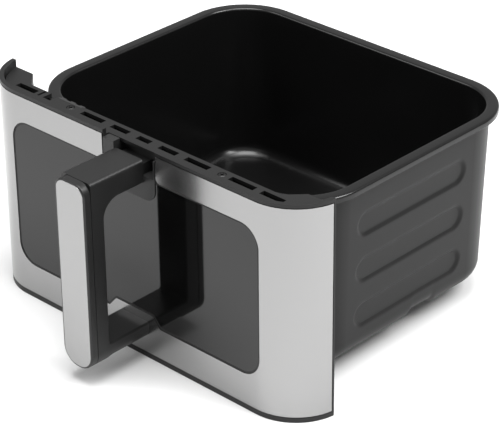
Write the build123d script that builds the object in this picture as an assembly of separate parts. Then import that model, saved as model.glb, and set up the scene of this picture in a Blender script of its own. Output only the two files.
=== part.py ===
from build123d import *
import os

# Pull-out drawer of a square air fryer: a double-walled pan hung behind a steel-faced front
# with a closed handle. +Z is up, the front faces -Y, and the drawer stands on z = 0.
# The pieces are drawn with y = 0 on the outer face of the steel skin, and every one is then
# moved back by the same distance, so that the origin is under the middle of the whole drawer.

# ---------------------------------------------------------------- driving dimensions, mm
# Front, as a box seen from above
FRONT_WIDTH = 290.0
FRONT_HEIGHT = 154.5
FRONT_CORNER_RADIUS = 37.0
FRONT_SIDE_DEPTH = 32.0

# Steel skin
STEEL_THICKNESS = 0.8
STEEL_SIDE_DEPTH = 30.2
STEEL_JOINT_GAP = 0.6
TOP_LIP_HEIGHT = 2.3
BOTTOM_LIP_HEIGHT = 3.3
NOTCH_WIDTH = 48.0
NOTCH_CORNER_RADIUS = 3.0

# Dark front panel and its opening
PANEL_OPENING_FROM_SIDE = 33.8
PANEL_OPENING_BOTTOM = 26.0
PANEL_OPENING_FROM_TOP = 20.8
PANEL_OPENING_RADIUS = 15.0
PANEL_RECESS = 0.6
PANEL_THICKNESS = 3.0
PANEL_TAPE_THICKNESS = 0.4
GASKET_WIDTH = 1.5
PANEL_LEDGE = 7.0
TAB_HEIGHT = 7.5
TAB_TOP_WIDTH = 34.0
TAB_FOOT_WIDTH = 47.0
TAB_CORNER_RADIUS = 3.0

# Moulded front frame behind the steel
FRAME_WALL = 2.5
FRAME_RIM_WIDTH = 5.0
FRAME_RIM_DEPTH = 3.0
FRAME_POST_DIAMETER = 8.0
FRAME_LUG_WIDTH = 10.0
FRAME_LUG_HEIGHT = 8.0

# Rear cover with the slotted shelf
COVER_GAP = 1.0
COVER_WALL = 2.0
SHELF_FROM_TOP = 4.5
SHELF_THICKNESS = 2.4
SHELF_DEPTH = 19.5
SHELF_FRONT_AT_NOTCH = 6.2
SHELF_RIB_HEIGHT = 3.6
COVER_CORNER_DEPTH = 31.0
COVER_CORNER_SLOPE = 11.5
COVER_CORNER_FROM_SIDE = 21.5
COVER_BOTTOM = 1.0
SLOT_WIDTH = 4.6
SLOT_FRONT = 11.7
SLOT_CENTRES_AND_LENGTHS = [(0.0, 11.4), (21.6, 15.2), (47.0, 20.0)]
END_SLOT_FROM_SIDE = 35.0
END_SLOT_LENGTH = 18.0
EXTRA_SLOT_FROM_SIDE = 59.8
EXTRA_SLOT_LENGTH = 20.5
SLIT_FROM_TAB = 24.0
SLIT_WIDTH = 1.8
SLIT_LENGTH = 7.4
RECESS_FROM_TAB = 15.9
RECESS_WIDTH = 7.0
SHELF_SCREW_X = 68.0
SHELF_SCREW_Y = 14.0

# Door-switch tab
SWITCH_TAB_X = -73.0
SWITCH_TAB_WIDTH = 22.0
SWITCH_TAB_FRONT = 17.7
SWITCH_TAB_BACK = 21.5
SWITCH_TAB_TEETH = 3
SWITCH_TAB_TOOTH_DROP = 0.8
SWITCH_TAB_FOOT_DROP = 2.0
TAB_CLEARANCE = 0.2

# Pan
PAN_RIM_WIDTH = 259.4
PAN_FRONT = 24.0
PAN_BACK = 238.3
PAN_RIM_RADIUS = 45.0
PAN_RIM_TOP = 140.0
RIM_OVERHANG = 5.7
RIM_SHEET = 1.0
RIM_ROLL_HEIGHT = 4.6
RIM_EDGE_RADIUS = 1.8
BOWL_INSET = 8.8
BOWL_DRAFT = 3.0
BOWL_FLOOR = 26.0
BOWL_FLOOR_RADIUS = 9.0
BOWL_MOUTH_RADIUS = 1.8
JACKET_SHEET = 0.8
JACKET_DRAFT = 1.7
JACKET_BOTTOM = 11.0
JACKET_FLOOR_RADIUS = 13.0
JACKET_COLLAR = 3.4
RIB_LENGTH = 107.0
RIB_HEIGHT = 18.5
RIB_DEPTH = 1.6
RIB_CENTRE_Y = 130.5
RIB_SIDE_SLOPE = 45.0
RIB_CENTRES_Z = [107.3, 73.4, 39.8]
CHANNEL_Y = 147.0
CHANNEL_WIDTH = 24.0
CHANNEL_HEIGHT = 3.4

# Feet
FOOT_DIAMETER = 18.0
FOOT_EDGE_RADIUS = 1.5
FOOT_STUD_DIAMETER = 6.0
FOOT_INSET = 42.0

# Bracket that joins the pan to the front
BRACKET_WIDTH = 140.0
BRACKET_SHEET = 2.0
BRACKET_BOTTOM = 30.0
BRACKET_FROM_RIM = 12.0
BRACKET_LIP = 14.0
BRACKET_SCREW_X = 50.0
BRACKET_SCREW_FROM_END = 16.0
SHIELD_THICKNESS = 0.5
SHIELD_FROM_SIDE = 37.0
SHIELD_BOTTOM = 6.0
SHIELD_FROM_SHELF = 17.0
COVER_SCREW_X = 70.0
COVER_SCREW_Z = 12.0

# Handle
GRIP_WIDTH = 26.4
GRIP_REACH = 50.5
GRIP_DEPTH = 16.4
GRIP_BOTTOM = 11.5
GRIP_FROM_TOP = 8.5
GRIP_TOP_RADIUS = 8.0
GRIP_BOTTOM_RADIUS = 12.0
GRIP_COVER_DEPTH = 5.5
GRIP_WALL = 2.0
GRIP_SPACER_WIDTH = 7.0
PARTING_GAP = 0.4
UPPER_ARM_HEIGHT = 16.5
UPPER_ARM_EDGE_RADIUS = 2.5
LOWER_ARM_TOP = 27.5
LOWER_ARM_BOTTOM = 17.5
LOWER_ARM_INNER_RADIUS = 4.0
FINGER_GAP_RADIUS = 13.0
FINGER_EDGE_RADIUS = 1.5
GRIP_BORDER = 1.2
GRIP_PLATE_THICKNESS = 0.8
GRIP_PLATE_PROUD = 0.2
GRIP_PLATE_EDGE_RADIUS = 0.25
GRIP_TAPE_THICKNESS = 0.3
GRIP_TAPE_BORDER = 2.2
GRIP_EDGE_RADIUS = 0.9

# Strap and inserts inside the handle
CORE_WIDTH = 14.0
CORE_THICKNESS = 1.4
CORE_CLEARANCE = 0.1
CORE_UPPER_LEG_FROM_TOP = 11.1
CORE_LOWER_LEG_Z = 24.6
CORE_LEG_END = 6.0
INSERT_DIAMETER = 5.6
INSERT_LENGTH = 8.0
UPPER_SCREW_X = 6.0
UPPER_SCREW_FROM_TOP = 7.7
LOWER_SCREW_X = 5.5
LOWER_SCREW_Z = 21.0
LOWER_PAD_DEPTH = 3.7
LOWER_PAD_DIAMETER = 10.0
GRIP_SCREW_HEIGHTS = [40.0, 80.0, 120.0]

# Mount that fills the notch and lets the upper arm through
MOUNT_WIDTH = 46.0
MOUNT_APRON_DROP = 15.7
MOUNT_APRON_RADIUS = 9.0
MOUNT_NECK_WIDTH = 38.0
MOUNT_NECK_DROP = 10.2
MOUNT_WALL = 1.2
MOUNT_POCKET_DEPTH = 10.0
MOUNT_BACK_WALL = 1.7
MOUNT_POCKET_STEP = 5.0
MOUNT_POCKET_SIDE_GAP = 0.2
MOUNT_CHEEK_DROP = 0.4
TONGUE_WIDTH = 23.0
TONGUE_DROP = 4.0
EAR_LENGTH = 9.0
EAR_HEIGHT = 8.0
EAR_THICKNESS = 2.2

# Fasteners
M4_DIAMETER = 4.0
M4_HEAD_DIAMETER = 7.4
M4_HEAD_HEIGHT = 2.4
TAPPING_DIAMETER = 2.9
TAPPING_HEAD_DIAMETER = 5.4
TAPPING_HEAD_HEIGHT = 1.9
HEAD_ROUNDING_SHARE = 0.33
CROSS_LENGTH_SHARE = 0.6
CROSS_WIDTH_SHARE = 0.125
HOLE_CLEARANCE = 0.15
THREAD_CLEARANCE = 0.02
FIT_GAP = 0.1
NUT_DIAMETER = 8.0
NUT_HEIGHT = 3.2
NUT_SIDES = 6

# ---------------------------------------------------------------- values that follow
STEEL_BOTTOM = BOTTOM_LIP_HEIGHT + STEEL_JOINT_GAP
PANEL_OPENING_WIDTH = FRONT_WIDTH - 2 * PANEL_OPENING_FROM_SIDE
PANEL_OPENING_TOP = FRONT_HEIGHT - PANEL_OPENING_FROM_TOP
SHELF_TOP = FRONT_HEIGHT - SHELF_FROM_TOP
COVER_CORNER_OUTER = FRONT_WIDTH / 2 - COVER_CORNER_FROM_SIDE
COVER_CORNER_INNER = COVER_CORNER_OUTER - COVER_CORNER_SLOPE
SLIT_X = SWITCH_TAB_X - SLIT_FROM_TAB
RECESS_X = SWITCH_TAB_X - RECESS_FROM_TAB
STEEL_TOP = FRONT_HEIGHT - TOP_LIP_HEIGHT - STEEL_JOINT_GAP
FRAME_BACK = STEEL_THICKNESS + FRAME_WALL
PANEL_BACK = PANEL_RECESS + PANEL_THICKNESS
TAPE_BACK = PANEL_BACK + PANEL_TAPE_THICKNESS
COVER_FRONT = FRAME_BACK + COVER_GAP
COVER_WALL_FRONT = SHELF_DEPTH - COVER_WALL
SHELF_BOTTOM = SHELF_TOP - SHELF_THICKNESS
SHIELD_BACK = SHELF_DEPTH + SHIELD_THICKNESS
SHIELD_TOP = SHELF_TOP - SHIELD_FROM_SHELF
BRACKET_TOP = PAN_RIM_TOP - BRACKET_FROM_RIM
BRACKET_BACK = SHIELD_BACK + BRACKET_SHEET
GRIP_TOP = FRONT_HEIGHT - GRIP_FROM_TOP
GRIP_FRONT = -GRIP_REACH
GRIP_BACK = GRIP_FRONT + GRIP_DEPTH
GRIP_COVER_FRONT = GRIP_FRONT + GRIP_PLATE_PROUD
GRIP_PARTING = GRIP_FRONT + GRIP_COVER_DEPTH
SHELL_FRONT = GRIP_PARTING + PARTING_GAP
PLATE_BACK = GRIP_FRONT + GRIP_PLATE_THICKNESS
GRIP_TAPE_BACK = PLATE_BACK + GRIP_TAPE_THICKNESS
CORE_BACK = SHELL_FRONT + CORE_THICKNESS
CORE_UPPER_LEG_Z = GRIP_TOP - CORE_UPPER_LEG_FROM_TOP
UPPER_ARM_BOTTOM = GRIP_TOP - UPPER_ARM_HEIGHT
UPPER_SCREW_Z = GRIP_TOP - UPPER_SCREW_FROM_TOP
TONGUE_TOP = GRIP_TOP - TONGUE_DROP
MOUNT_BOTTOM = PANEL_OPENING_TOP - MOUNT_APRON_DROP
MOUNT_NECK_BOTTOM = PANEL_OPENING_TOP - MOUNT_NECK_DROP
MOUNT_POCKET_BOTTOM = UPPER_ARM_BOTTOM + MOUNT_POCKET_STEP
MOUNT_CHEEK_TOP = SHELF_TOP - MOUNT_CHEEK_DROP
MOUNT_BACK = MOUNT_POCKET_DEPTH + MOUNT_BACK_WALL
LOWER_PAD_BACK = FRAME_BACK + LOWER_PAD_DEPTH
BRACKET_SCREW_HEIGHTS = [BRACKET_BOTTOM + BRACKET_SCREW_FROM_END, BRACKET_TOP - BRACKET_SCREW_FROM_END]
DEPTH_CENTRE = (PAN_BACK - GRIP_REACH) / 2
PAN_MIDDLE = (PAN_FRONT + PAN_BACK) / 2
PAN_DEPTH = PAN_BACK - PAN_FRONT
REACH = 1.0
M4_HOLE = M4_DIAMETER + 2 * HOLE_CLEARANCE
M4_THREAD = M4_DIAMETER + 2 * THREAD_CLEARANCE
TAPPING_HOLE = TAPPING_DIAMETER + 2 * HOLE_CLEARANCE
TAPPING_THREAD = TAPPING_DIAMETER + 2 * THREAD_CLEARANCE
TAPPING_HEAD_HOLE = TAPPING_HEAD_DIAMETER + 2 * HOLE_CLEARANCE
M4_SCREW = (M4_DIAMETER, M4_HEAD_DIAMETER, M4_HEAD_HEIGHT)
TAPPING_SCREW = (TAPPING_DIAMETER, TAPPING_HEAD_DIAMETER, TAPPING_HEAD_HEIGHT)


# ---------------------------------------------------------------- helpers
def box(x0, x1, y0, y1, z0, z1):
    """Box from its low and high corners."""
    return Pos((x0 + x1) / 2, (y0 + y1) / 2, (z0 + z1) / 2) * Box(x1 - x0, y1 - y0, z1 - z0)


def rod(x, z, y0, y1, diameter):
    """Round bar along Y."""
    return Pos(x, (y0 + y1) / 2, z) * Rot(90, 0, 0) * Cylinder(diameter / 2, y1 - y0)


def front_slab(outline, y0, y1):
    """An outline drawn as seen from the front, made solid from y0 back to y1."""
    face = Plane.XZ.offset(-y0) * outline
    return extrude(face, amount=y1 - y0, dir=(0, 1, 0))


def plan_slab(outline, z0, z1):
    """An outline drawn as seen from above, made solid from z0 up to z1."""
    return extrude(Pos(0, 0, z0) * outline, amount=z1 - z0)


def front_plan(inset):
    """Plan of the front's rounded box, moved inwards by inset. Only its front end is used."""
    depth = FRONT_WIDTH
    rounded = RectangleRounded(FRONT_WIDTH - 2 * inset, depth - 2 * inset, FRONT_CORNER_RADIUS - inset)
    return Pos(0, depth / 2) * rounded


def wrap_band(outer_inset, inner_inset, z0, z1, y0, y1):
    """Part of the wall that wraps the front and both corners, between two depths."""
    band = plan_slab(front_plan(outer_inset) - front_plan(inner_inset), z0, z1)
    return band & box(-FRONT_WIDTH, FRONT_WIDTH, y0, y1, z0, z1)


def tab_outline(grow):
    """Raised tab of the steel at the middle of the panel's lower edge."""
    top = PANEL_OPENING_BOTTOM + TAB_HEIGHT
    foot = PANEL_OPENING_BOTTOM - TAB_HEIGHT
    slope = (TAB_FOOT_WIDTH - TAB_TOP_WIDTH) / 2
    corners = [
        (-TAB_FOOT_WIDTH / 2 - slope, foot),
        (TAB_FOOT_WIDTH / 2 + slope, foot),
        (TAB_TOP_WIDTH / 2, top),
        (-TAB_TOP_WIDTH / 2, top),
    ]
    shape = make_face(Polyline(*corners, close=True))
    shape = fillet(shape.vertices().sort_by(Axis.Y)[-2:], TAB_CORNER_RADIUS)
    return offset(shape, amount=grow) if grow else shape


def panel_outline(shrink):
    """Opening for the dark panel, seen from the front, made smaller by shrink all round."""
    height = PANEL_OPENING_TOP - PANEL_OPENING_BOTTOM
    middle = (PANEL_OPENING_TOP + PANEL_OPENING_BOTTOM) / 2
    radius = PANEL_OPENING_RADIUS - shrink
    shape = RectangleRounded(PANEL_OPENING_WIDTH - 2 * shrink, height - 2 * shrink, radius)
    return Pos(0, middle) * shape - tab_outline(shrink)


def neck_outline(grow):
    """Cut-out at the top of the panel for the neck of the handle mount."""
    width = MOUNT_NECK_WIDTH + 2 * grow
    height = PANEL_OPENING_TOP + REACH - MOUNT_NECK_BOTTOM + grow
    return Pos(0, PANEL_OPENING_TOP + REACH - height / 2) * Rectangle(width, height)


def pan_plan(inset):
    """Plan of the pan's rim, moved inwards by inset."""
    rounded = RectangleRounded(PAN_RIM_WIDTH - 2 * inset, PAN_DEPTH - 2 * inset, PAN_RIM_RADIUS - inset)
    return Pos(0, PAN_MIDDLE) * rounded


def drafted_pan(inset, draft, bottom, top, floor_radius):
    """Solid with the pan's plan at the top, drawn in by the draft angle towards the bottom."""
    body = extrude(Pos(0, 0, top) * pan_plan(inset), amount=top - bottom, dir=(0, 0, -1), taper=draft)
    return fillet(body.faces().sort_by(Axis.Z)[0].edges(), floor_radius)


def screw_along_y(x, z, head_y, tip_y, diameter, head_diameter, head_height):
    """Pan-head screw along Y; its head is on the side away from the tip."""
    side = 1 if head_y > tip_y else -1
    shank = rod(x, z, min(head_y, tip_y), max(head_y, tip_y), diameter)
    head_end = head_y + side * head_height
    head = rod(x, z, min(head_y, head_end), max(head_y, head_end), head_diameter)
    head = fillet(head.edges().sort_by(Axis.Y)[-1 if side > 0 else 0], head_height * HEAD_ROUNDING_SHARE)
    slot_deep = head_end - side * head_height / 2
    slot_half = head_diameter * CROSS_WIDTH_SHARE / 2
    low, high = min(slot_deep, head_end), max(slot_deep, head_end)
    arm = head_diameter * CROSS_LENGTH_SHARE / 2
    cross = box(x - arm, x + arm, low, high, z - slot_half, z + slot_half)
    cross += box(x - slot_half, x + slot_half, low, high, z - arm, z + arm)
    return shank + head - cross


def jacket_wall_y(z):
    """Outer face of the jacket's front wall at a height."""
    fall = PAN_RIM_TOP - RIM_SHEET - z
    return PAN_FRONT + RIM_OVERHANG + fall * tan_degrees(JACKET_DRAFT)


def jacket_wall_x(z):
    """Outer face of the jacket's side wall at a height."""
    fall = PAN_RIM_TOP - RIM_SHEET - z
    return PAN_RIM_WIDTH / 2 - RIM_OVERHANG - fall * tan_degrees(JACKET_DRAFT)


def tan_degrees(angle):
    """Tangent of an angle in degrees."""
    direction = Vector(1, 0, 0).rotate(Axis.Z, angle)
    return direction.Y / direction.X


def group(solids):
    """Several separate solids kept together as one node."""
    return Compound(children=list(solids))


# ---------------------------------------------------------------- front
def make_steel_fascia():
    skin = wrap_band(0, STEEL_THICKNESS, STEEL_BOTTOM, STEEL_TOP, -REACH, STEEL_SIDE_DEPTH)
    skin -= front_slab(panel_outline(0), -REACH, STEEL_THICKNESS + REACH)
    half = NOTCH_WIDTH / 2
    low = PANEL_OPENING_TOP - REACH
    skin -= box(-half, half, -REACH, STEEL_THICKNESS + REACH, low, STEEL_TOP + REACH)
    for x in (-half, half):
        edges = [e for e in skin.edges().filter_by(Axis.Y) if abs(e.center().X - x) < FIT_GAP]
        skin = fillet(sorted(edges, key=lambda e: e.center().Z)[0], NOTCH_CORNER_RADIUS)
    for x in (-LOWER_SCREW_X, LOWER_SCREW_X):
        skin -= rod(x, LOWER_SCREW_Z, -REACH, STEEL_THICKNESS + REACH, M4_HOLE)
    return skin


def make_front_frame():
    """Black moulding that the steel wraps: wall, top and bottom lips, panel seat and screw posts."""
    frame = wrap_band(STEEL_THICKNESS, FRAME_BACK, 0, FRONT_HEIGHT, -REACH, FRONT_SIDE_DEPTH)
    frame += wrap_band(0, FRAME_BACK, 0, BOTTOM_LIP_HEIGHT, -REACH, FRONT_SIDE_DEPTH)
    top_lip = FRONT_HEIGHT - TOP_LIP_HEIGHT
    frame += wrap_band(0, FRAME_BACK, top_lip, FRONT_HEIGHT, -REACH, FRONT_SIDE_DEPTH)
    side_lip = STEEL_SIDE_DEPTH + STEEL_JOINT_GAP
    frame += wrap_band(0, FRAME_BACK, 0, FRONT_HEIGHT, side_lip, FRONT_SIDE_DEPTH)
    frame += front_slab(panel_outline(-FRAME_RIM_WIDTH), FRAME_BACK, FRAME_BACK + FRAME_RIM_DEPTH)
    for x in (-LOWER_SCREW_X, LOWER_SCREW_X):
        frame += rod(x, LOWER_SCREW_Z, FRAME_BACK, LOWER_PAD_BACK, LOWER_PAD_DIAMETER)
    for side in (-1, 1):
        post_x = side * COVER_SCREW_X
        lug_x = side * SHELF_SCREW_X
        frame += rod(post_x, COVER_SCREW_Z, FRAME_BACK, COVER_WALL_FRONT, FRAME_POST_DIAMETER)
        lug = FRAME_LUG_WIDTH / 2
        lug_back = COVER_WALL_FRONT - FIT_GAP
        lug_low = SHELF_BOTTOM - FRAME_LUG_HEIGHT
        frame += box(lug_x - lug, lug_x + lug, FRAME_BACK, lug_back, lug_low, SHELF_BOTTOM)
    frame -= front_slab(panel_outline(0), STEEL_THICKNESS - REACH, TAPE_BACK)
    frame -= front_slab(panel_outline(PANEL_LEDGE), STEEL_THICKNESS, FRAME_BACK + FRAME_RIM_DEPTH + REACH)
    gap = MOUNT_WIDTH / 2 + FIT_GAP
    gap_bottom = MOUNT_NECK_BOTTOM - FIT_GAP
    frame -= box(-gap, gap, -REACH, COVER_WALL_FRONT, gap_bottom, FRONT_HEIGHT + REACH)
    for side in (-1, 1):
        frame -= rod(side * COVER_SCREW_X, COVER_SCREW_Z, FRAME_BACK, COVER_WALL_FRONT, TAPPING_THREAD)
        lug_top = Pos(side * SHELF_SCREW_X, SHELF_SCREW_Y, SHELF_BOTTOM)
        frame -= lug_top * Cylinder(TAPPING_THREAD / 2, 2 * FRAME_LUG_HEIGHT)
    for x, z in ear_screw_places():
        frame -= rod(x, z, STEEL_THICKNESS, FRAME_BACK, TAPPING_THREAD)
    for x in (-LOWER_SCREW_X, LOWER_SCREW_X):
        frame -= rod(x, LOWER_SCREW_Z, -REACH, LOWER_PAD_BACK, M4_HOLE)
    return frame


def make_front_panel():
    outline = panel_outline(GASKET_WIDTH) - neck_outline(FIT_GAP)
    return front_slab(outline, PANEL_RECESS, PANEL_BACK)


def make_panel_gasket():
    outline = panel_outline(0) - panel_outline(GASKET_WIDTH) - neck_outline(FIT_GAP)
    return front_slab(outline, PANEL_RECESS, PANEL_BACK)


def make_panel_tape():
    outline = panel_outline(GASKET_WIDTH) - panel_outline(PANEL_LEDGE) - neck_outline(FIT_GAP)
    return front_slab(outline, PANEL_BACK, TAPE_BACK)


# ---------------------------------------------------------------- rear cover and shelf
def cover_plan():
    """Plan of the rear cover: straight behind the front, deeper in both corners."""
    half = FRONT_WIDTH / 2
    corners = [
        (-half, 0),
        (half, 0),
        (half, COVER_CORNER_DEPTH),
        (COVER_CORNER_OUTER, COVER_CORNER_DEPTH),
        (COVER_CORNER_INNER, SHELF_DEPTH),
        (-COVER_CORNER_INNER, SHELF_DEPTH),
        (-COVER_CORNER_OUTER, COVER_CORNER_DEPTH),
        (-half, COVER_CORNER_DEPTH),
    ]
    return front_plan(COVER_FRONT) & make_face(Polyline(*corners, close=True))


def through_shelf(x, width, y0, y1):
    """Tool for an opening through the shelf, by its middle, its width and its two depths."""
    return box(x - width / 2, x + width / 2, y0, y1, SHELF_BOTTOM - REACH, SHELF_TOP + REACH)


def shelf_slots():
    """Vent slots through the shelf, the same on both sides but for the switch end."""
    end = FRONT_WIDTH / 2 - END_SLOT_FROM_SIDE
    extra = FRONT_WIDTH / 2 - EXTRA_SLOT_FROM_SIDE
    pairs = SLOT_CENTRES_AND_LENGTHS + [(end, END_SLOT_LENGTH)]
    slots = [(side * x, length) for x, length in pairs for side in ((-1, 1) if x else (1,))]
    slots.append((extra, EXTRA_SLOT_LENGTH))
    return [through_shelf(x, length, SLOT_FRONT, SLOT_FRONT + SLOT_WIDTH) for x, length in slots]


def make_rear_cover():
    plan = cover_plan()
    cover = plan_slab(plan, COVER_BOTTOM, SHELF_TOP)
    cover -= plan_slab(offset(plan, amount=-COVER_WALL), COVER_BOTTOM + COVER_WALL, SHELF_BOTTOM)
    rib_bottom = SHELF_BOTTOM - SHELF_RIB_HEIGHT
    front_wall = front_plan(COVER_FRONT - FIT_GAP) - front_plan(COVER_FRONT + COVER_WALL + FIT_GAP)
    mouth = plan_slab(front_wall, COVER_BOTTOM + COVER_WALL, rib_bottom)
    mouth &= box(-FRONT_WIDTH, FRONT_WIDTH, 0, COVER_CORNER_DEPTH - COVER_WALL, 0, FRONT_HEIGHT)
    cover -= mouth
    ears = MOUNT_WIDTH / 2 + FIT_GAP + EAR_LENGTH + REACH
    cover -= box(-ears, ears, 0, COVER_WALL_FRONT, rib_bottom - REACH, SHELF_BOTTOM)
    notch = NOTCH_WIDTH / 2
    cover -= box(-notch, notch, 0, SHELF_FRONT_AT_NOTCH, SHELF_BOTTOM - REACH, SHELF_TOP + REACH)
    for lug_x in (-SHELF_SCREW_X, SHELF_SCREW_X):
        lug = FRAME_LUG_WIDTH / 2 + FIT_GAP
        cover -= box(lug_x - lug, lug_x + lug, 0, COVER_WALL_FRONT, rib_bottom - REACH, SHELF_BOTTOM)
        seat = Pos(lug_x, SHELF_SCREW_Y, SHELF_TOP)
        cover -= seat * Cylinder(TAPPING_HOLE / 2, 2 * (SHELF_THICKNESS + REACH))
        cover -= seat * Cylinder(TAPPING_HEAD_HOLE / 2, 2 * TAPPING_HEAD_HEIGHT)
    for slot in shelf_slots():
        cover -= slot
    cover -= through_shelf(SLIT_X, SLIT_WIDTH, SLOT_FRONT, SLOT_FRONT + SLIT_LENGTH)
    cover -= through_shelf(RECESS_X, RECESS_WIDTH, SLOT_FRONT, SHELF_DEPTH + REACH)
    tab = SWITCH_TAB_WIDTH / 2 + TAB_CLEARANCE
    tab_left, tab_right = SWITCH_TAB_X - tab, SWITCH_TAB_X + tab
    tab_front, tab_low = SWITCH_TAB_FRONT - TAB_CLEARANCE, SHELF_BOTTOM - SWITCH_TAB_FOOT_DROP
    cover -= box(tab_left, tab_right, tab_front, SHELF_DEPTH + REACH, tab_low, SHELF_TOP + REACH)
    for x in (-COVER_SCREW_X, COVER_SCREW_X):
        cover -= rod(x, COVER_SCREW_Z, COVER_WALL_FRONT - REACH, SHELF_DEPTH + REACH, TAPPING_HOLE)
    for x, z in bracket_screw_places():
        cover -= rod(x, z, COVER_WALL_FRONT - REACH, SHELF_DEPTH + REACH, M4_HOLE)
    return cover


def make_switch_tab():
    """Toothed tab at the back of the shelf that works the switch in the housing."""
    low = SHELF_BOTTOM - SWITCH_TAB_FOOT_DROP
    left, right = SWITCH_TAB_X - SWITCH_TAB_WIDTH / 2, SWITCH_TAB_X + SWITCH_TAB_WIDTH / 2
    tab = box(left, right, SWITCH_TAB_FRONT, SHELF_DEPTH, low, SHELF_TOP)
    tooth = SWITCH_TAB_WIDTH / (2 * SWITCH_TAB_TEETH - 1)
    tooth_top = SHELF_TOP - SWITCH_TAB_TOOTH_DROP
    for step in range(SWITCH_TAB_TEETH):
        x = left + 2 * step * tooth
        tab += box(x, x + tooth, SHELF_DEPTH, SWITCH_TAB_BACK, SHELF_BOTTOM, tooth_top)
    return tab


def make_heat_shield():
    half = FRONT_WIDTH / 2 - SHIELD_FROM_SIDE
    shield = box(-half, half, SHELF_DEPTH, SHIELD_BACK, SHIELD_BOTTOM, SHIELD_TOP)
    for x in (-COVER_SCREW_X, COVER_SCREW_X):
        shield -= rod(x, COVER_SCREW_Z, SHELF_DEPTH - REACH, SHIELD_BACK + REACH, TAPPING_HOLE)
    for x, z in bracket_screw_places():
        shield -= rod(x, z, SHELF_DEPTH - REACH, SHIELD_BACK + REACH, M4_HOLE)
    return shield


# ---------------------------------------------------------------- pan
def make_inner_bowl():
    """Non-stick bowl with a flat flange and a rolled edge that closes over the jacket."""
    outer_inset, outer_floor = BOWL_INSET - RIM_SHEET, BOWL_FLOOR - RIM_SHEET
    outer_radius = BOWL_FLOOR_RADIUS + RIM_SHEET
    outer = drafted_pan(outer_inset, BOWL_DRAFT, outer_floor, PAN_RIM_TOP, outer_radius)
    roll = plan_slab(pan_plan(0), PAN_RIM_TOP - RIM_ROLL_HEIGHT, PAN_RIM_TOP)
    roll = fillet(roll.faces().sort_by(Axis.Z)[-1].edges(), RIM_EDGE_RADIUS)
    roll -= plan_slab(pan_plan(RIM_SHEET), PAN_RIM_TOP - RIM_ROLL_HEIGHT, PAN_RIM_TOP - RIM_SHEET)
    inner = drafted_pan(BOWL_INSET, BOWL_DRAFT, BOWL_FLOOR, PAN_RIM_TOP, BOWL_FLOOR_RADIUS)
    bowl = outer + roll - inner
    half_mouth = PAN_RIM_WIDTH / 2 - BOWL_INSET + FIT_GAP
    front, back = PAN_FRONT + RIM_OVERHANG, PAN_BACK - RIM_OVERHANG
    mouth = [e for e in bowl.edges() if abs(e.center().Z - PAN_RIM_TOP) < FIT_GAP]
    mouth = [e for e in mouth if abs(e.center().X) < half_mouth and front < e.center().Y < back]
    return fillet(mouth, BOWL_MOUTH_RADIUS)


def rib_tool(side, z, grow):
    """Pressed rib with sloping sides, as the solid that is taken out of the wall."""
    floor_x = jacket_wall_x(z) - RIB_DEPTH - grow
    length = RIB_LENGTH - 2 * RIB_DEPTH + 2 * grow
    height = RIB_HEIGHT - 2 * RIB_DEPTH + 2 * grow
    start = Plane(origin=(side * floor_x, RIB_CENTRE_Y, z), x_dir=(0, side, 0), z_dir=(side, 0, 0))
    return extrude(start * SlotOverall(length, height), amount=2 * RIB_DEPTH + grow, taper=-RIB_SIDE_SLOPE)


def channel_tool(grow):
    """Shallow channel pressed across the underside."""
    low = JACKET_BOTTOM - REACH
    high = JACKET_BOTTOM + CHANNEL_HEIGHT + grow
    foot = CHANNEL_WIDTH / 2 + REACH + grow
    top = CHANNEL_WIDTH / 2 - CHANNEL_HEIGHT
    corners = [
        (CHANNEL_Y - foot, low),
        (CHANNEL_Y + foot, low),
        (CHANNEL_Y + top + grow, high),
        (CHANNEL_Y - top - grow, high),
    ]
    face = Plane.YZ * make_face(Polyline(*corners, close=True))
    return extrude(face, amount=PAN_RIM_WIDTH, both=True)


def jacket_solid(inset):
    """Jacket's outside, or with inset its inside, with every pressed feature taken out."""
    top = PAN_RIM_TOP - RIM_SHEET
    radius = JACKET_FLOOR_RADIUS - inset
    body = drafted_pan(RIM_OVERHANG + inset, JACKET_DRAFT, JACKET_BOTTOM + inset, top, radius)
    for side in (-1, 1):
        for z in RIB_CENTRES_Z:
            body -= rib_tool(side, z, inset)
    return body - channel_tool(inset)


def make_pan_jacket():
    top = PAN_RIM_TOP - RIM_SHEET
    jacket = jacket_solid(0) - jacket_solid(JACKET_SHEET)
    collar = pan_plan(RIM_OVERHANG - JACKET_COLLAR) - pan_plan(RIM_OVERHANG + JACKET_SHEET)
    jacket += plan_slab(collar, top - JACKET_SHEET, top)
    for x, y in foot_places():
        hole = FOOT_STUD_DIAMETER / 2 + HOLE_CLEARANCE
        jacket -= Pos(x, y, JACKET_BOTTOM) * Cylinder(hole, 2 * (JACKET_SHEET + REACH))
    return jacket


def foot_places():
    """Centres of the four feet, set in from the corners of the jacket's floor."""
    half = PAN_RIM_WIDTH / 2 - FOOT_INSET
    return [(x, y) for x in (-half, half) for y in (PAN_FRONT + FOOT_INSET, PAN_BACK - FOOT_INSET)]


def make_floor_feet():
    feet = []
    for x, y in foot_places():
        pad = Pos(x, y, JACKET_BOTTOM / 2) * Cylinder(FOOT_DIAMETER / 2, JACKET_BOTTOM)
        pad = fillet(pad.edges().sort_by(Axis.Z)[0], FOOT_EDGE_RADIUS)
        stud_top = JACKET_BOTTOM + JACKET_SHEET
        stud = Pos(x, y, stud_top / 2) * Cylinder(FOOT_STUD_DIAMETER / 2, stud_top)
        feet.append(pad + stud)
    return group(feet)


def bracket_screw_places():
    """Centres of the four screws that hold the bracket to the front."""
    return [(x, z) for x in (-BRACKET_SCREW_X, BRACKET_SCREW_X) for z in BRACKET_SCREW_HEIGHTS]


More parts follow.
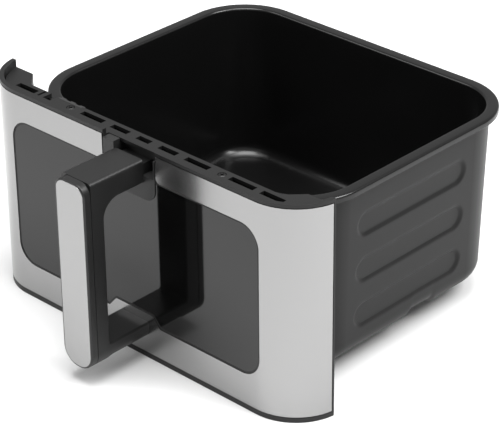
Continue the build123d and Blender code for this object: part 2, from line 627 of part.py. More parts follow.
def make_pan_bracket():
    """Sheet channel welded to the front of the jacket by two lips that follow its draft."""
    front, sheet = SHIELD_BACK, BRACKET_SHEET
    low, high = BRACKET_BOTTOM, BRACKET_TOP
    low_lip, high_lip = low + BRACKET_LIP, high - BRACKET_LIP
    profile = [
        (front, low),
        (front, high),
        (jacket_wall_y(high), high),
        (jacket_wall_y(high_lip), high_lip),
        (jacket_wall_y(high_lip) - sheet, high_lip),
        (jacket_wall_y(high - sheet) - sheet, high - sheet),
        (front + sheet, high - sheet),
        (front + sheet, low + sheet),
        (jacket_wall_y(low + sheet) - sheet, low + sheet),
        (jacket_wall_y(low_lip) - sheet, low_lip),
        (jacket_wall_y(low_lip), low_lip),
        (jacket_wall_y(low), low),
    ]
    face = Plane.YZ * make_face(Polyline(*profile, close=True))
    bracket = extrude(face, amount=BRACKET_WIDTH / 2, both=True)
    for x, z in bracket_screw_places():
        bracket -= rod(x, z, front - REACH, BRACKET_BACK + REACH, M4_HOLE)
    return bracket


def make_weld_nuts():
    nuts = []
    for x, z in bracket_screw_places():
        plane = Plane(origin=(x, BRACKET_BACK, z), x_dir=(1, 0, 0), z_dir=(0, 1, 0))
        nut = extrude(plane * RegularPolygon(NUT_DIAMETER / 2, NUT_SIDES), amount=NUT_HEIGHT)
        nuts.append(nut - rod(x, z, SHIELD_BACK, BRACKET_BACK + NUT_HEIGHT + REACH, M4_THREAD))
    return group(nuts)


# ---------------------------------------------------------------- handle
def handle_outline(inset, top_radius):
    """Handle seen from the front: straight sides, with a radius at each pair of corners."""
    half = GRIP_WIDTH / 2 - inset
    low, high = GRIP_BOTTOM + inset, GRIP_TOP - inset
    shape = make_face(Polyline((-half, low), (half, low), (half, high), (-half, high), close=True))
    shape = fillet(shape.vertices().sort_by(Axis.Y)[:2], GRIP_BOTTOM_RADIUS - inset)
    return fillet(shape.vertices().sort_by(Axis.Y)[-2:], top_radius)


def grip_outline(inset):
    """Front half of the grip, and with inset the plate on it."""
    return handle_outline(inset, GRIP_TOP_RADIUS - inset)


def finger_gap():
    """Space for the fingers, through the handle from side to side."""
    corners = [
        (GRIP_BACK, LOWER_ARM_TOP),
        (REACH, LOWER_ARM_TOP),
        (REACH, UPPER_ARM_BOTTOM),
        (GRIP_BACK, UPPER_ARM_BOTTOM),
    ]
    shape = make_face(Polyline(*corners, close=True))
    inner = shape.vertices().sort_by(Axis.X)[:2].sort_by(Axis.Y)
    shape = fillet(inner[1], FINGER_GAP_RADIUS)
    low = shape.vertices().sort_by(Axis.Y)[:2].sort_by(Axis.X)[0]
    shape = fillet(low, FINGER_EDGE_RADIUS)
    return extrude(Plane.YZ * shape, amount=GRIP_WIDTH, both=True)


def space_under_arm():
    """Space under the lower arm, behind the grip, which reaches lower than the arm does."""
    corners = [
        (GRIP_BACK, GRIP_BOTTOM - REACH),
        (REACH, GRIP_BOTTOM - REACH),
        (REACH, LOWER_ARM_BOTTOM),
        (GRIP_BACK, LOWER_ARM_BOTTOM),
    ]
    shape = make_face(Polyline(*corners, close=True))
    inner = shape.vertices().sort_by(Axis.X)[:2].sort_by(Axis.Y)[-1]
    shape = fillet(inner, LOWER_ARM_INNER_RADIUS)
    return extrude(Plane.YZ * shape, amount=GRIP_WIDTH, both=True)


def core_solid(grow):
    """Steel strap: up the grip and a leg into each arm."""
    half = CORE_WIDTH / 2 + grow
    front = SHELL_FRONT
    low = CORE_LOWER_LEG_Z - grow
    high = CORE_UPPER_LEG_Z + grow
    strap = box(-half, half, front, CORE_BACK + grow, low, high)
    strap += box(-half, half, front, -CORE_LEG_END + grow, high - CORE_THICKNESS - 2 * grow, high)
    strap += box(-half, half, front, -CORE_LEG_END + grow, low, low + CORE_THICKNESS + 2 * grow)
    return strap


def make_handle_shell():
    """Rear half of the grip with both arms and the tongue that reaches into the mount."""
    outline = handle_outline(0, UPPER_ARM_EDGE_RADIUS)
    shell = front_slab(outline, SHELL_FRONT, 0) - finger_gap() - space_under_arm()
    back_edges = [e for e in shell.edges().filter_by(Axis.Z) if abs(e.center().Y - GRIP_BACK) < FIT_GAP]
    shell = fillet(back_edges, FINGER_EDGE_RADIUS)
    tongue = TONGUE_WIDTH / 2
    shell += box(-tongue, tongue, -REACH, MOUNT_POCKET_DEPTH, MOUNT_POCKET_BOTTOM, TONGUE_TOP)
    shell -= core_solid(CORE_CLEARANCE)
    for x in (-UPPER_SCREW_X, UPPER_SCREW_X):
        shell -= rod(x, UPPER_SCREW_Z, -INSERT_LENGTH, 0, INSERT_DIAMETER)
        shell -= rod(x, UPPER_SCREW_Z, -INSERT_LENGTH - REACH, MOUNT_POCKET_DEPTH + REACH, M4_HOLE)
    for x in (-LOWER_SCREW_X, LOWER_SCREW_X):
        shell -= rod(x, LOWER_SCREW_Z, -INSERT_LENGTH, REACH, INSERT_DIAMETER)
        shell -= rod(x, LOWER_SCREW_Z, -INSERT_LENGTH - REACH, REACH, M4_HOLE)
    for z in GRIP_SCREW_HEIGHTS:
        shell -= rod(0, z, SHELL_FRONT - REACH, GRIP_BACK - GRIP_WALL, TAPPING_THREAD)
    return shell


def make_grip_cover():
    cover = front_slab(grip_outline(0), GRIP_COVER_FRONT, GRIP_PARTING)
    cover = fillet(cover.faces().sort_by(Axis.Y)[0].edges(), GRIP_EDGE_RADIUS)
    cover -= front_slab(grip_outline(GRIP_BORDER), GRIP_COVER_FRONT - REACH, GRIP_TAPE_BACK)
    for z in GRIP_SCREW_HEIGHTS:
        cover -= rod(0, z, GRIP_TAPE_BACK - REACH, GRIP_TAPE_BACK + TAPPING_HEAD_HEIGHT, TAPPING_HEAD_HOLE)
        cover -= rod(0, z, GRIP_TAPE_BACK, GRIP_PARTING + REACH, TAPPING_HOLE)
    half = GRIP_SPACER_WIDTH / 2
    low, high = GRIP_BOTTOM + GRIP_WALL, CORE_LOWER_LEG_Z - GRIP_WALL
    return cover + box(-half, half, GRIP_PARTING, SHELL_FRONT, low, high)


def make_grip_plate():
    plate = front_slab(grip_outline(GRIP_BORDER + FIT_GAP), GRIP_FRONT, PLATE_BACK)
    return fillet(plate.faces().sort_by(Axis.Y)[0].edges(), GRIP_PLATE_EDGE_RADIUS)


def make_grip_plate_tape():
    return front_slab(grip_outline(GRIP_TAPE_BORDER), PLATE_BACK, GRIP_TAPE_BACK)


def make_grip_screws():
    head_y, tip = GRIP_TAPE_BACK + TAPPING_HEAD_HEIGHT, GRIP_BACK - 2 * GRIP_WALL
    return group(screw_along_y(0, z, head_y, tip, *TAPPING_SCREW) for z in GRIP_SCREW_HEIGHTS)


def make_handle_core():
    core = core_solid(0)
    for z in GRIP_SCREW_HEIGHTS:
        core -= rod(0, z, SHELL_FRONT - REACH, CORE_BACK + REACH, M4_DIAMETER)
    return core


def make_handle_inserts():
    inserts = []
    for x, z in ((UPPER_SCREW_X, UPPER_SCREW_Z), (LOWER_SCREW_X, LOWER_SCREW_Z)):
        for side in (-1, 1):
            body = rod(side * x, z, -INSERT_LENGTH, 0, INSERT_DIAMETER)
            bore = rod(side * x, z, -INSERT_LENGTH, 0, M4_THREAD)
            inserts.append(body - bore)
    return group(inserts)


def make_handle_mount():
    """Dark mount in the notch: apron over the panel, open-topped pocket, ears behind the frame."""
    half = MOUNT_WIDTH / 2
    middle = (MOUNT_BOTTOM + SHELF_BOTTOM) / 2
    apron = Pos(0, middle) * Rectangle(MOUNT_WIDTH, SHELF_BOTTOM - MOUNT_BOTTOM)
    apron = fillet(apron.vertices().sort_by(Axis.Y)[:2], MOUNT_APRON_RADIUS)
    mount = front_slab(apron, 0, PANEL_RECESS)
    neck = MOUNT_NECK_WIDTH / 2
    mount += box(-neck, neck, 0, MOUNT_BACK, MOUNT_NECK_BOTTOM, SHELF_BOTTOM)
    mount += box(-half, half, 0, MOUNT_BACK, PANEL_OPENING_TOP, SHELF_BOTTOM)
    mount += box(-half, 0, 0, SHELF_FRONT_AT_NOTCH - FIT_GAP, SHELF_BOTTOM, MOUNT_CHEEK_TOP)
    ear_low = PANEL_OPENING_TOP + FRAME_RIM_WIDTH + FIT_GAP
    ear = half + FIT_GAP + EAR_LENGTH
    mount += box(-ear, ear, FRAME_BACK, FRAME_BACK + EAR_THICKNESS, ear_low, ear_low + EAR_HEIGHT)
    left = -GRIP_WIDTH / 2 - MOUNT_POCKET_SIDE_GAP
    right = half - MOUNT_WALL
    mount -= box(left, right, -REACH, MOUNT_POCKET_DEPTH, MOUNT_POCKET_BOTTOM, MOUNT_CHEEK_TOP + REACH)
    for x in (-UPPER_SCREW_X, UPPER_SCREW_X):
        mount -= rod(x, UPPER_SCREW_Z, 0, MOUNT_BACK + REACH, M4_HOLE)
    for x, z in ear_screw_places():
        mount -= rod(x, z, FRAME_BACK, FRAME_BACK + EAR_THICKNESS, TAPPING_HOLE)
    return mount


def ear_screw_places():
    """Centres of the two small screws through the mount's ears."""
    x = MOUNT_WIDTH / 2 + EAR_LENGTH / 2 + FIT_GAP
    z = PANEL_OPENING_TOP + FRAME_RIM_WIDTH + EAR_HEIGHT / 2 + FIT_GAP
    return [(-x, z), (x, z)]


# ---------------------------------------------------------------- screws
def make_mount_screws():
    head_y, tip = FRAME_BACK + EAR_THICKNESS, STEEL_THICKNESS + FIT_GAP
    return group(screw_along_y(x, z, head_y, tip, *TAPPING_SCREW) for x, z in ear_screw_places())


def make_upper_handle_screws():
    places = (-UPPER_SCREW_X, UPPER_SCREW_X)
    return group(screw_along_y(x, UPPER_SCREW_Z, MOUNT_BACK, -INSERT_LENGTH, *M4_SCREW) for x in places)


def make_lower_handle_screws():
    places = (-LOWER_SCREW_X, LOWER_SCREW_X)
    return group(screw_along_y(x, LOWER_SCREW_Z, LOWER_PAD_BACK, -INSERT_LENGTH, *M4_SCREW) for x in places)


def make_bracket_screws():
    tip = BRACKET_BACK + NUT_HEIGHT
    return group(screw_along_y(x, z, COVER_WALL_FRONT, tip, *M4_SCREW) for x, z in bracket_screw_places())


def make_cover_screws():
    places = (-COVER_SCREW_X, COVER_SCREW_X)
    tip = FRAME_BACK + 2 * REACH
    return group(screw_along_y(x, COVER_SCREW_Z, SHIELD_BACK, tip, *TAPPING_SCREW) for x in places)


def make_shelf_screws():
    """Two screws that stand upright in the shelf, sunk to its surface."""
    upright = Rot(90, 0, 0) * screw_along_y(0, 0, 0, -FRAME_LUG_HEIGHT, *TAPPING_SCREW)
    seat = SHELF_TOP - TAPPING_HEAD_HEIGHT
    return group(Pos(x, SHELF_SCREW_Y, seat) * upright for x in (-SHELF_SCREW_X, SHELF_SCREW_X))


# ---------------------------------------------------------------- writing
PIECES = {
    "inner_bowl": make_inner_bowl,
    "pan_jacket": make_pan_jacket,
    "floor_feet": make_floor_feet,
    "pan_bracket": make_pan_bracket,
    "weld_nuts": make_weld_nuts,
    "bracket_screws": make_bracket_screws,
    "steel_fascia": make_steel_fascia,
    "front_frame": make_front_frame,
    "front_panel": make_front_panel,
    "panel_gasket": make_panel_gasket,
    "panel_tape": make_panel_tape,
    "rear_cover": make_rear_cover,
    "switch_tab": make_switch_tab,
    "heat_shield": make_heat_shield,
    "cover_screws": make_cover_screws,
    "shelf_screws": make_shelf_screws,
    "handle_mount": make_handle_mount,
    "mount_screws": make_mount_screws,
    "handle_shell": make_handle_shell,
    "grip_cover": make_grip_cover,
    "grip_plate": make_grip_plate,
    "grip_plate_tape": make_grip_plate_tape,
    "grip_screws": make_grip_screws,
    "handle_core": make_handle_core,
    "handle_inserts": make_handle_inserts,
    "upper_handle_screws": make_upper_handle_screws,
    "lower_handle_screws": make_lower_handle_screws,
}

os.makedirs("parts", exist_ok=True)
for node, make in PIECES.items():
    piece = Pos(0, -DEPTH_CENTRE, 0) * make()
    piece.label = node
    export_step(piece, f"parts/{node}.step")
    print(node, "written")
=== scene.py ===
# %% [markdown]
# # The drawer of an air fryer
# The drawer is a double-walled pan hung behind a steel-faced front with a closed bar handle.
# The frame, the mouldings and the fasteners come from CAD with their true sizes. Two pieces are
# made again here as smooth surfaces, because pressed sheet has soft edges that CAD leaves sharp:
# the non-stick bowl and the jacket round it. Everything else gets its finish here.

import bmesh
import bpy
import numpy as np
from mathutils import Matrix, Vector


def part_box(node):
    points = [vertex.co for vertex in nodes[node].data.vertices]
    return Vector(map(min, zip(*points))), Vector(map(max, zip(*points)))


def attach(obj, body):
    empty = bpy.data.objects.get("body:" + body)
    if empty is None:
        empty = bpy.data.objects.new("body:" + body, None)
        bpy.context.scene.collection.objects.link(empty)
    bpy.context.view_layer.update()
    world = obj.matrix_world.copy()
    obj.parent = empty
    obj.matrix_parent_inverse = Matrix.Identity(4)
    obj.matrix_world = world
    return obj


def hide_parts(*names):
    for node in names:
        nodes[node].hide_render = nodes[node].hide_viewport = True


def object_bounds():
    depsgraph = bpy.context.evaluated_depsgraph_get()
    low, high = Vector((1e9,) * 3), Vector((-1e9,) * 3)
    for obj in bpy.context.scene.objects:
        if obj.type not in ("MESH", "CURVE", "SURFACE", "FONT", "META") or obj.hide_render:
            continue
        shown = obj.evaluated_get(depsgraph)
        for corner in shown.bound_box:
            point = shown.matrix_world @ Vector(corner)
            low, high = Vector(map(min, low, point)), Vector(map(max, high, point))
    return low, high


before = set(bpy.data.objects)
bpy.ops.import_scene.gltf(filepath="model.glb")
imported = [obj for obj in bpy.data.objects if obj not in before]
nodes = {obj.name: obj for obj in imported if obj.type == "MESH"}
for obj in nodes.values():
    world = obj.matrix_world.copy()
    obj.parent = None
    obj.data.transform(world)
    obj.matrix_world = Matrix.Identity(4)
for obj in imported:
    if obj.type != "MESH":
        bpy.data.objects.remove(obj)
cad_box = [list(corner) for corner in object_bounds()]
MM = 0.001
cad_sides = [round((high - low) / MM, 1) for low, high in zip(*cad_box)]
print("CAD nodes:", len(nodes), "sides in mm:", cad_sides)

# %% [markdown]
# ## The camera
# A long lens from the front right, a little above the rim, shows the front, the right wall and
# the inside of the bowl at once. A camera looks along its own -Z with +Y up, so its rotation is
# a matrix whose columns are the directions to its right, upwards and backwards. Track To would
# aim it too, but a matrix can also hold the slight roll. The small shifts slide the picture without
# turning the camera, so they don't change the perspective.

# %% Place the camera
CAMERA_PLACE = (0.8964, -0.9213, 0.7800)
CAMERA_AZIMUTH, CAMERA_ELEVATION, CAMERA_ROLL = np.radians((43.69, 29.19, -0.56))
CAMERA_LENS = 157.3
CAMERA_SHIFT = (0.0004, -0.0018)


def camera_axes(azimuth, elevation, roll):
    """Right, up and back of a camera. Back points from the object to the camera, right lies
    level, up is back x right, and the roll turns right and up about back."""
    level = np.cos(elevation)
    back = np.array((np.sin(azimuth) * level, -np.cos(azimuth) * level, np.sin(elevation)))
    right = np.array((np.cos(azimuth), np.sin(azimuth), 0.0))
    up = np.cross(back, right)
    turned_right = right * np.cos(roll) + up * np.sin(roll)
    turned_up = up * np.cos(roll) - right * np.sin(roll)
    return turned_right, turned_up, back


camera = bpy.data.objects.new("camera", bpy.data.cameras.new("camera"))
bpy.context.scene.collection.objects.link(camera)
axes = camera_axes(CAMERA_AZIMUTH, CAMERA_ELEVATION, CAMERA_ROLL)
camera.matrix_world = Matrix.Translation(CAMERA_PLACE) @ Matrix(np.array(axes).T.tolist()).to_4x4()
camera.data.lens = CAMERA_LENS
camera.data.shift_x, camera.data.shift_y = CAMERA_SHIFT
bpy.context.scene.camera = camera
print("camera distance in m:", round(float(np.linalg.norm(CAMERA_PLACE)), 3))

# %% [markdown]
# ## Sums that make shader nodes
# A Wire stands for one socket that gives a number. Adding or multiplying wires in Python adds the
# Math node that does it, so a finish reads like the formula it is. A Finish is one material: its
# node method makes every other kind of node, with its settings first and its inputs after them.


# %% A number inside a material
class Wire:
    """A shader value. Each operator adds one Math node that works it out."""

    def __init__(self, finish, socket):
        self.finish = finish
        self.socket = socket

    def math(self, operation, first, second):
        return self.finish.node("ShaderNodeMath", {"operation": operation}, {0: first, 1: second})

    def __add__(self, other):
        return self.math("ADD", self, other)

    def __radd__(self, other):
        return self.math("ADD", other, self)

    def __mul__(self, other):
        return self.math("MULTIPLY", self, other)

    def __rmul__(self, other):
        return self.math("MULTIPLY", other, self)


# %% [markdown]
# ## One material and its nodes
# A finish could be clicked together in the shader editor, but a few lines of code that build it
# can be read, compared and reused. Three patterns make every surface here: noise in the object's
# own coordinates, which stays on the surface when the view moves, a tone that turns a number into
# a colour, and a relief that tilts the surface slightly without moving it.


# %% One material
class Finish:
    """One material. Constants go on the shader's own sockets, and patterns reach it by links."""

    NOISE_ROUGHNESS = 0.6

    def __init__(self, name, **constants):
        self.material = bpy.data.materials.new(name)
        self.material.use_nodes = True
        self.tree = self.material.node_tree
        self.shader = self.tree.nodes["Principled BSDF"]
        for socket, value in constants.items():
            self.set(socket.replace("_", " "), value)

    def node(self, kind, settings=None, inputs=None, output=0):
        made = self.tree.nodes.new(kind)
        for key, value in (settings or {}).items():
            setattr(made, key, value)
        for key, value in (inputs or {}).items():
            self.join(made.inputs[key], value)
        return Wire(self, made.outputs[output])

    def join(self, socket, value):
        if isinstance(value, Wire):
            self.tree.links.new(value.socket, socket)
        elif socket.type == "RGBA":
            socket.default_value = (*value, 1.0)
        else:
            socket.default_value = value

    def set(self, socket, value):
        self.join(self.shader.inputs[socket], value)

    def noise(self, per_metre, detail=2.0, stretch=(1.0, 1.0, 1.0)):
        """Noise from 0 to 1, in lumps a metre. Its grain is long where stretch is small."""
        place = self.node("ShaderNodeTexCoord", output="Object")
        place = self.node("ShaderNodeMapping", None, {"Vector": place, "Scale": stretch})
        inputs = {"Vector": place, "Scale": per_metre, "Detail": detail}
        inputs["Roughness"] = self.NOISE_ROUGHNESS
        return self.node("ShaderNodeTexNoise", None, inputs)

    def tone(self, share, low, high):
        """A colour between low and high, by a share from 0 to 1. A Mix node has a set of sockets
        for each kind of value: its colours are inputs 6 and 7 and output 2."""
        inputs = {"Factor": share, 6: low, 7: high}
        return self.node("ShaderNodeMix", {"data_type": "RGBA"}, inputs, output=2)

    def relief(self, height, depth):
        """Small relief: height runs from 0 to 1 and depth is its size in metres."""
        inputs = {"Height": height, "Distance": depth, "Strength": 1.0}
        self.set("Normal", self.node("ShaderNodeBump", None, inputs))


def grey(level, warmth=0.0):
    """A near-neutral colour: level is its linear brightness, and warmth tints it slightly."""
    return (level * (1 + warmth), level, level * (1 - warmth))


def greys(level, darker, lighter, warmth=0.0):
    """Two greys about one level: darker and lighter are their shares of it."""
    return grey(level * darker, warmth), grey(level * lighter, warmth)


# %% [markdown]
# ## Brushed steel
# Brushing leaves fine scratches that run level round the whole front. They are noise drawn out
# along X and Y and fine along Z, so they follow the wrap round both corners without a seam. The
# same streaks move the colour, the roughness and the relief, as one scratch does on real steel.
# Scratches too fine to draw still smear a reflection across them. Anisotropy does that: with a
# quarter turn, reflections are drawn out up and down and stay crisp from side to side.


# %% Brushed steel
def brushed_steel(name, level, roughness, long_way):
    """Metal with level scratches: level is its brightness and long_way the streaks' stretch."""
    finish = Finish(name, Metallic=1.0, Anisotropic=0.5, Anisotropic_Rotation=0.25)
    coarse = finish.noise(per_metre=1400.0, detail=3.0, stretch=long_way)
    fine = finish.noise(per_metre=5200.0, detail=2.0, stretch=long_way)
    patch = finish.noise(per_metre=14.0, detail=1.0)
    streak = coarse * 0.55 + fine * 0.45
    dark, light = grey(level * 0.94, 0.004), grey(level * 1.05)
    finish.set("Base Color", finish.tone(streak, dark, light))
    finish.set("Roughness", streak * 0.10 + patch * 0.04 + (roughness - 0.07))
    finish.relief(streak, 0.0000012)
    return finish


steel = brushed_steel("brushed_steel", level=0.325, roughness=0.22, long_way=(0.012, 0.012, 1.0))
grip_steel = brushed_steel("brushed_grip_steel", level=0.335, roughness=0.22, long_way=(0.014, 1.0, 1.0))
print("steel nodes:", len(steel.tree.nodes))

# %% [markdown]
# ## Plated and turned metal
# The screws, nuts, bracket and inserts are metal that nobody brushed. Plating is cloudy in patches
# of several millimetres over a fine tooth, so two noises of very different size make it. A plain
# even metal would be simpler, but its highlights look like chrome.


# %% Plated and turned metal
def plated_sheet(name, level, roughness, warmth=0.0):
    """Zinc-plated or plain sheet: faint cloudy patches over a fine even tooth."""
    finish = Finish(name, Metallic=1.0)
    cloud = finish.noise(per_metre=160.0, detail=3.0)
    tooth = finish.noise(per_metre=2600.0, detail=2.0)
    finish.set("Base Color", finish.tone(cloud, *greys(level, 0.86, 1.08, warmth)))
    finish.set("Roughness", cloud * 0.16 + (roughness - 0.08))
    finish.relief(tooth, 0.000004)
    return finish


zinc = plated_sheet("zinc_plated_steel", level=0.48, roughness=0.36)
screw_zinc = plated_sheet("zinc_plated_screw", level=0.55, roughness=0.30)
black_oxide = plated_sheet("black_oxide_screw", level=0.05, roughness=0.38)
aluminium = plated_sheet("plain_aluminium", level=0.66, roughness=0.33)
brass = plated_sheet("turned_brass", level=0.45, roughness=0.28, warmth=0.32)
print("metals:", zinc.material.name, aluminium.material.name, brass.material.name)

# %% [markdown]
# ## Mouldings
# Injection-moulded covers are almost one colour, and what makes them look real is the eroded
# texture of the mould: a grain of about half a millimetre, about a hundredth deep, that breaks up
# the highlights, with slow changes of gloss where hands polish it. The grain could be modelled,
# but that would take millions of faces, and a bump shows the same at this distance. Rubber and
# foam are the same recipe with a rougher, deeper grain.


# %% Plastic and rubber
def moulding(name, level, roughness, grain=0.000012, grains=1900.0):
    """Satin plastic: level is its brightness, grain the depth and grains the count a metre."""
    finish = Finish(name, Specular_IOR_Level=0.38)
    texture = finish.noise(per_metre=grains, detail=3.0)
    handled = finish.noise(per_metre=22.0, detail=2.0)
    tint = handled * 0.6 + texture * 0.4
    finish.set("Base Color", finish.tone(tint, *greys(level, 0.88, 1.14)))
    finish.set("Roughness", handled * 0.10 + texture * 0.06 + (roughness - 0.08))
    finish.relief(texture, grain)
    return finish


frame_plastic = moulding("front_frame_plastic", level=0.006, roughness=0.44)
cover_plastic = moulding("shelf_plastic", level=0.006, roughness=0.46)
mount_plastic = moulding("mount_plastic", level=0.014, roughness=0.44)
handle_plastic = moulding("handle_plastic", level=0.008, roughness=0.36, grain=0.000008)
tab_plastic = moulding("switch_tab_plastic", level=0.022, roughness=0.45)
gasket_rubber = moulding("gasket_rubber", level=0.004, roughness=0.50)
foot_rubber = moulding("foot_rubber", level=0.018, roughness=0.62, grain=0.000020)
foam_tape = moulding("foam_tape", level=0.030, roughness=0.80, grain=0.000040, grains=1200.0)
print("mouldings:", [made.name for made in bpy.data.materials if "plastic" in made.name])


# %% [markdown]
# ## The gloss panel and the two coatings
# The panel is polished, so it mirrors the handle and the table, and only a very slow unevenness
# shows that it isn't glass. It could be a clear sheet over a dark back, but nothing shows through
# it, so one opaque gloss does. The pan's coatings are sprayed and baked, which leaves a fine
# orange-peel surface: on the bowl it is glossier than on the jacket.


# %% Panel and coatings
def gloss_panel_finish():
    """Polished dark sheet with a slow waviness of a few hundredths of a millimetre."""
    finish = Finish("gloss_panel", IOR=1.45)
    wave = finish.noise(per_metre=9.0, detail=1.0)
    haze = finish.noise(per_metre=60.0, detail=2.0)
    finish.set("Base Color", finish.tone(haze, grey(0.0022), grey(0.0030)))
    finish.set("Roughness", haze * 0.03 + 0.035)
    finish.relief(wave, 0.00004)
    return finish


def baked_coating(name, level, roughness, shine, peel, peels):
    """Sprayed coating: shine is the specular level, peel is the depth of its orange-peel
    relief and peels its count a metre."""
    finish = Finish(name, Specular_IOR_Level=shine)
    lumps = finish.noise(per_metre=peels, detail=2.0)
    speck = finish.noise(per_metre=peels * 4.0, detail=1.0)
    patch = finish.noise(per_metre=11.0, detail=2.0)
    tint = patch * 0.5 + speck * 0.5
    finish.set("Base Color", finish.tone(tint, *greys(level, 0.86, 1.16)))
    finish.set("Roughness", patch * 0.08 + speck * 0.06 + (roughness - 0.07))
    finish.relief(lumps, peel)
    return finish


gloss_panel = gloss_panel_finish()
PEEL_DEPTH = 0.000006
nonstick = baked_coating("nonstick_coating", 0.0035, 0.24, shine=0.38, peel=PEEL_DEPTH, peels=700.0)
jacket_paint = baked_coating("jacket_paint", 0.014, 0.40, shine=0.16, peel=PEEL_DEPTH, peels=900.0)
print("gloss and coatings:", gloss_panel.material.name, nonstick.material.name, jacket_paint.material.name)

# %% [markdown]
# ## Finishes of the CAD pieces
# These pieces keep their CAD shape, because a moulding, a screw or a flat strip of steel is what
# CAD draws well. Only their material slots are filled. Each could be given its finish where that
# is made, but a table from each node to its finish shows the whole choice in one place.

# %% Dress the CAD nodes
FINISH_OF_NODE = {
    "steel_fascia": steel,
    "grip_plate": grip_steel,
    "front_frame": frame_plastic,
    "front_panel": gloss_panel,
    "panel_gasket": gasket_rubber,
    "panel_tape": foam_tape,
    "grip_plate_tape": foam_tape,
    "rear_cover": cover_plastic,
    "switch_tab": tab_plastic,
    "heat_shield": aluminium,
    "handle_mount": mount_plastic,
    "handle_shell": handle_plastic,
    "grip_cover": handle_plastic,
    "handle_core": zinc,
    "handle_inserts": brass,
    "pan_bracket": zinc,
    "weld_nuts": screw_zinc,
    "bracket_screws": screw_zinc,
    "cover_screws": screw_zinc,
    "mount_screws": screw_zinc,
    "grip_screws": screw_zinc,
    "upper_handle_screws": screw_zinc,
    "lower_handle_screws": screw_zinc,
    "shelf_screws": black_oxide,
    "floor_feet": foot_rubber,
}
for node, finish in FINISH_OF_NODE.items():
    nodes[node].data.materials.clear()
    nodes[node].data.materials.append(finish.material)
print("finished CAD nodes:", len(FINISH_OF_NODE))

# %% [markdown]
# ## How the pan is drawn
# Both walls of the pan are one section carried round a rounded rectangle. A row of the section
# says how far in it lies from the rim's outer edge, how high it is, and what share of the way
# out from the middle it is drawn: 1 on the walls, less across the floor, which closes it.

# %% The loop round the pan
RIM_LOW, RIM_HIGH = (np.array(corner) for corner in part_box("inner_bowl"))
RIM_MIDDLE = (RIM_LOW + RIM_HIGH) / 2
RIM_HALF = (RIM_HIGH - RIM_LOW) / 2
RIM_TOP = RIM_HIGH[2]
RIM_CORNER = 45.0 * MM
LEAST_CORNER = 4.0 * MM
print("rim sides and height in mm:", [round(float(side) / MM, 1) for side in (*RIM_HALF[:2] * 2, RIM_TOP)])


def loop_round(along_x, along_y, corner):
    """Points round a rounded rectangle, from its right rear corner on. Each is given by the
    corner's centre that it turns about, as shares of the half sizes, and its outward angle:
    a corner turns 90 degrees about one centre, and a side slides from centre to centre."""
    centres = np.array([(1, 1), (-1, 1), (-1, -1), (1, -1)], float)
    shares, angles = [], []
    for step, side in enumerate((along_x, along_y, along_x, along_y)):
        here, following = centres[step], centres[(step + 1) % 4]
        slide = np.linspace(0, 1, side, endpoint=False)[:, None]
        shares += [np.tile(here, (corner, 1)), here + (following - here) * slide]
        angles += [90 * step + np.linspace(0, 90, corner, endpoint=False), np.full(side, 90 * step + 90)]
    return np.vstack(shares), np.radians(np.concatenate(angles))


def carried_round(section, loop):
    """Grid of points, rows x columns x 3: each row of the section drawn round the loop.
    A row inset by d has half sizes less d and a corner radius less d."""
    shares, angles = loop
    inset, height, share = section.T[:, :, None]
    radius = np.maximum(RIM_CORNER - inset, LEAST_CORNER)
    x = (RIM_HALF[0] - inset - radius) * shares[:, 0] + radius * np.cos(angles)
    y = (RIM_HALF[1] - inset - radius) * shares[:, 1] + radius * np.sin(angles)
    z = np.broadcast_to(height, x.shape)
    return np.stack([RIM_MIDDLE[0] + share * x, RIM_MIDDLE[1] + share * y, z], axis=-1)


# %% [markdown]
# ## Parts of a section
# A pressed section is straight lines joined by round bends, as the press tool is. It could be drawn
# as a curve object with a bevel, but rows worked out here can be checked against the sheet's
# thickness. Three helpers make every stretch of both sections: straight rows, a bend and a floor.


# %% Parts of a section
def rows(inset, height, share=1.0):
    """Rows of a section from insets and heights in millimetres."""
    inset, height, share = np.broadcast_arrays(np.asarray(inset, float), height, share)
    return np.stack([inset * MM, height * MM, share], axis=-1).reshape(-1, 3)


def bend(inset, height, radius, start, end, steps):
    """Rows on a circle: centre + radius x (cos a, sin a), for a from start to end in degrees."""
    angle = np.radians(np.linspace(start, end, steps))
    return rows(inset + radius * np.cos(angle), height + radius * np.sin(angle))


def floor_rows(inset, height, steps):
    """Rows across a floor, from its middle, share 0, to just short of its edge, share 1."""
    share = np.linspace(0, 1, steps, endpoint=False)
    return rows(inset, height, share)


print("a quarter bend of 2 mm, in mm:", (bend(0, 0, 2, 0, 90, 3)[:, :2] / MM).round(2).tolist())

# %% [markdown]
# ## From a grid to a piece
# A grid of points becomes a mesh when each cell is given a face. A sheet's inside and outside are
# one closed skin, so the rows run from the middle of one floor round to the middle of the other.
# A Solidify modifier could thicken a single skin, but it rounds no edges and can't roll the rim.

# %% From a grid to a piece
MERGE_DISTANCE = 0.004 * MM
SHARP_ANGLE = np.radians(38)


